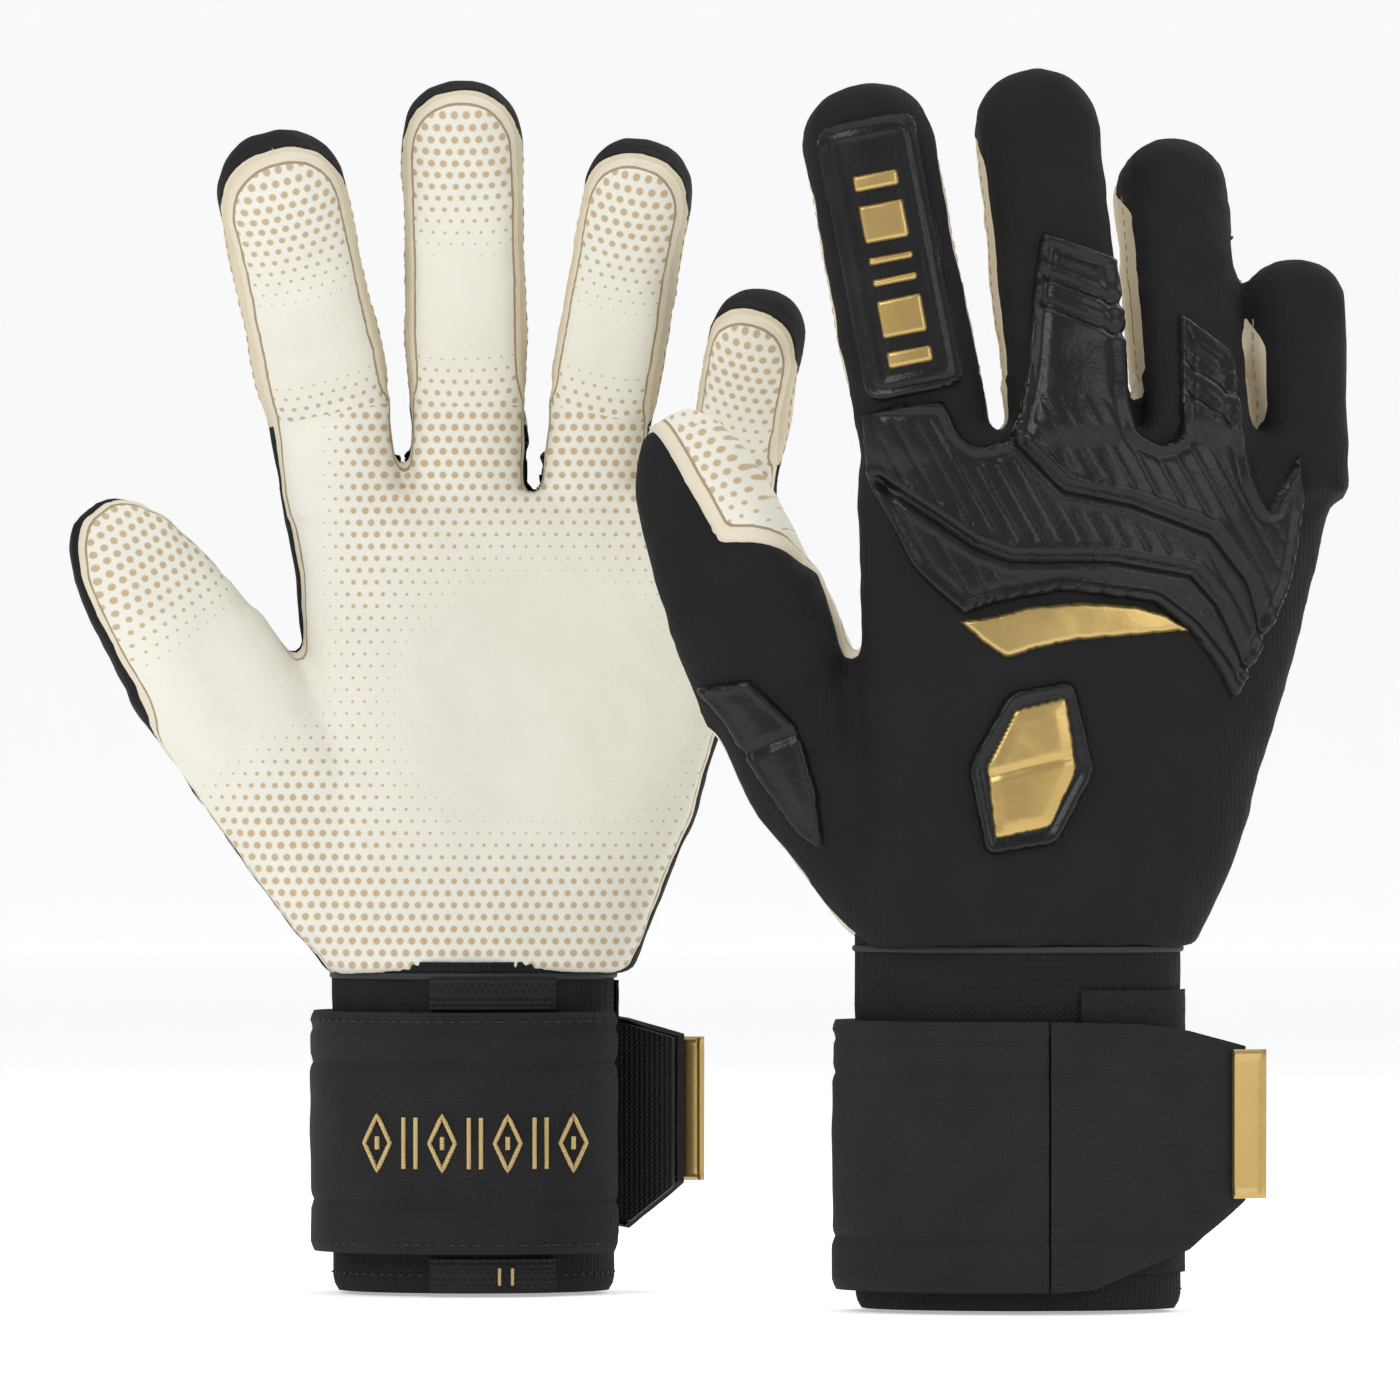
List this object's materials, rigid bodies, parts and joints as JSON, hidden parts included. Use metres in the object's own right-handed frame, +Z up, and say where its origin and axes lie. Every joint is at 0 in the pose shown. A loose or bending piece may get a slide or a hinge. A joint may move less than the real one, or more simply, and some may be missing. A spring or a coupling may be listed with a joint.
{
  "type": "goalkeeper gloves",
  "caption": "Pair of football goalkeeper gloves with dotted latex palms, padded black backs and wrist straps, standing on their cuffs.",
  "frame": {"origin": "on the ground under the middle of the pair's box", "axes": "+Z up from the cuffs to the fingertips, +X across the pair from the thumbs' side, +Y from the front glove to the rear one"},
  "size_m": [0.299, 0.1568, 0.2854],
  "materials": {
    "latex": "smooth matt natural latex foam, cream, with tan dots",
    "welt": "brushed cream seam edge",
    "gusset": "tan latex and cloth gusset",
    "back_cloth": "black neoprene with a fine knit rib",
    "moulded_rubber": "semi-gloss black moulded rubber",
    "gold_trim": "satin gold rubber",
    "knit": "black elastic knit",
    "strap_twill": "black elastic twill",
    "loop_pile": "black loop pile",
    "hook": "black hook tape",
    "webbing": "black woven webbing",
    "embroidery": "gold embroidery thread"
  },
  "bodies": {
    "left_hand": {"left_palm_latex": "latex", "left_back_panel": "back_cloth", "left_knuckle_pad": "moulded_rubber", "left_gold_blade": "gold_trim", "left_emblem": "gold_trim", "left_thumb_pad": "moulded_rubber", "left_cuff_sleeve": "knit", "left_loop_patch": "loop_pile", "left_strap_wrap": "strap_twill", "left_pull_loops": "webbing"},
    "left_thumb": {"left_thumb_latex": "latex", "left_thumb_back": "back_cloth"},
    "left_index": {"left_index_latex": "latex", "left_index_gusset": "gusset", "left_index_back": "back_cloth", "left_index_strip": "moulded_rubber"},
    "left_middle": {"left_middle_latex": "latex", "left_middle_gusset": "gusset", "left_middle_back": "back_cloth", "left_middle_pad_tab": "moulded_rubber"},
    "left_ring": {"left_ring_latex": "latex", "left_ring_gusset": "gusset", "left_ring_back": "back_cloth", "left_ring_pad_tab": "moulded_rubber"},
    "left_little": {"left_little_latex": "latex", "left_little_gusset": "gusset", "left_little_back": "back_cloth"},
    "left_strap_flap": {"left_strap_flap": "strap_twill", "left_hook_patch": "hook", "left_pull_tab": "gold_trim"},
    "right_hand": {"right_palm_latex": "latex", "right_back_panel": "back_cloth", "right_knuckle_pad": "moulded_rubber", "right_gold_blade": "gold_trim", "right_emblem": "gold_trim", "right_thumb_pad": "moulded_rubber", "right_cuff_sleeve": "knit", "right_loop_patch": "loop_pile", "right_strap_wrap": "strap_twill", "right_pull_loops": "webbing"},
    "right_thumb": {"right_thumb_latex": "latex", "right_thumb_back": "back_cloth"},
    "right_index": {"right_index_latex": "latex", "right_index_gusset": "gusset", "right_index_back": "back_cloth", "right_index_strip": "moulded_rubber"},
    "right_middle": {"right_middle_latex": "latex", "right_middle_gusset": "gusset", "right_middle_back": "back_cloth", "right_middle_pad_tab": "moulded_rubber"},
    "right_ring": {"right_ring_latex": "latex", "right_ring_gusset": "gusset", "right_ring_back": "back_cloth", "right_ring_pad_tab": "moulded_rubber"},
    "right_little": {"right_little_latex": "latex", "right_little_gusset": "gusset", "right_little_back": "back_cloth"},
    "right_strap_flap": {"right_strap_flap": "strap_twill", "right_hook_patch": "hook", "right_pull_tab": "gold_trim"}
  },
  "joints": [
    {"name": "left_index_flex", "type": "hinge", "parent": "left_hand", "child": "left_index", "pos_m": [-0.08847, 0.03297, 0.2059], "axis": [0.9828, -0.0342, 0.1816], "range_deg": [0, 45], "stiffness_Nm_per_rad": 0.3},
    {"name": "left_middle_flex", "type": "hinge", "parent": "left_hand", "child": "left_middle", "pos_m": [-0.05591, 0.03654, 0.20799], "axis": [0.9994, -0.0349, 0.0061], "range_deg": [0, 45], "stiffness_Nm_per_rad": 0.3},
    {"name": "left_ring_flex", "type": "hinge", "parent": "left_hand", "child": "left_ring", "pos_m": [-0.02472, 0.03467, 0.20608], "axis": [0.9816, -0.0344, -0.1876], "range_deg": [0, 45], "stiffness_Nm_per_rad": 0.3},
    {"name": "left_little_flex", "type": "hinge", "parent": "left_hand", "child": "left_little", "pos_m": [0.00713, 0.02938, 0.19609], "axis": [0.9801, -0.0344, -0.1955], "range_deg": [0, 45], "stiffness_Nm_per_rad": 0.3},
    {"name": "left_thumb_flex", "type": "hinge", "parent": "left_hand", "child": "left_thumb", "pos_m": [-0.11156, 0.0269, 0.1377], "axis": [0.8221, 0, 0.5693], "range_deg": [0, 35], "stiffness_Nm_per_rad": 0.3},
    {"name": "left_strap_peel", "type": "hinge", "parent": "left_hand", "child": "left_strap_flap", "pos_m": [-0.04906, 0.07819, 0.035], "axis": [0, 0, 1], "range_deg": [0, 120]},
    {"name": "right_index_flex", "type": "hinge", "parent": "right_hand", "child": "right_index", "pos_m": [0.04507, -0.04435, 0.2052], "axis": [-0.9441, -0.2875, -0.1613], "range_deg": [0, 45], "stiffness_Nm_per_rad": 0.3},
    {"name": "right_middle_flex", "type": "hinge", "parent": "right_hand", "child": "right_middle", "pos_m": [0.07911, -0.04238, 0.2076], "axis": [-0.9571, -0.2896, -0.006], "range_deg": [0, 45], "stiffness_Nm_per_rad": 0.3},
    {"name": "right_ring_flex", "type": "hinge", "parent": "right_hand", "child": "right_ring", "pos_m": [0.10706, -0.03136, 0.20569], "axis": [-0.9525, -0.2877, 0.0999], "range_deg": [0, 45], "stiffness_Nm_per_rad": 0.3},
    {"name": "right_little_flex", "type": "hinge", "parent": "right_hand", "child": "right_little", "pos_m": [0.13226, -0.01887, 0.19692], "axis": [-0.9559, -0.2919, 0.0315], "range_deg": [0, 45], "stiffness_Nm_per_rad": 0.3},
    {"name": "right_thumb_flex", "type": "hinge", "parent": "right_hand", "child": "right_thumb", "pos_m": [0.01294, -0.0299, 0.1519], "axis": [-0.9298, 0, -0.3681], "range_deg": [0, 35], "stiffness_Nm_per_rad": 0.3},
    {"name": "right_strap_peel", "type": "hinge", "parent": "right_hand", "child": "right_strap_flap", "pos_m": [0.07894, -0.07808, 0.035], "axis": [0, 0, -1], "range_deg": [0, 120]},
    {"name": "right_glove_lift", "type": "slide", "parent": "left_hand", "child": "right_hand", "axis": [0, 0, 1], "range_m": [0, 0.32]}
  ]
}
